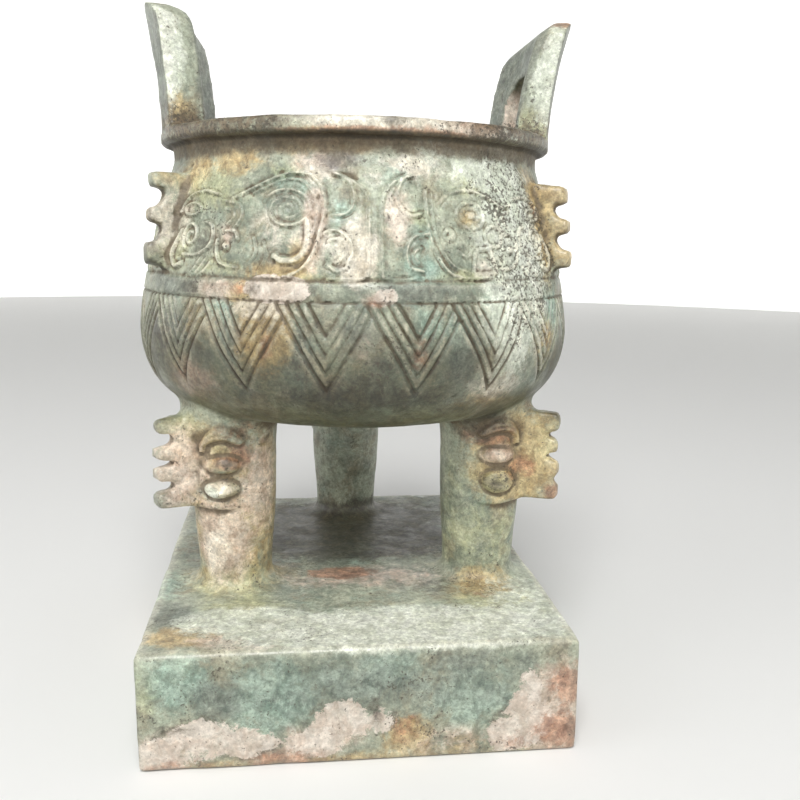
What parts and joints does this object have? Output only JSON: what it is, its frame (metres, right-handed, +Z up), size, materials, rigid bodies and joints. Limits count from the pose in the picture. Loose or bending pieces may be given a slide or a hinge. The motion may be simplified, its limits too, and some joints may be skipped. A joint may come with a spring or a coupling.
{
  "type": "jade tripod ding",
  "caption": "Carved jade ritual cauldron with two upright ears, toothed flanges and monster masks, standing on three legs on a rectangular block of the same stone.",
  "frame": {"origin": "centre of the block's flat underside", "axes": "+Z up through the bowl, -Y towards the front, where the mask's nose faces, and +X to the right, towards an ear"},
  "size_m": [0.1396, 0.1496, 0.2083],
  "materials": {
    "weathered_jade": "satin, weathered, with stains and a mineral crust"
  },
  "bodies": {
    "root": {"jade_ding": "weathered_jade"}
  },
  "joints": []
}
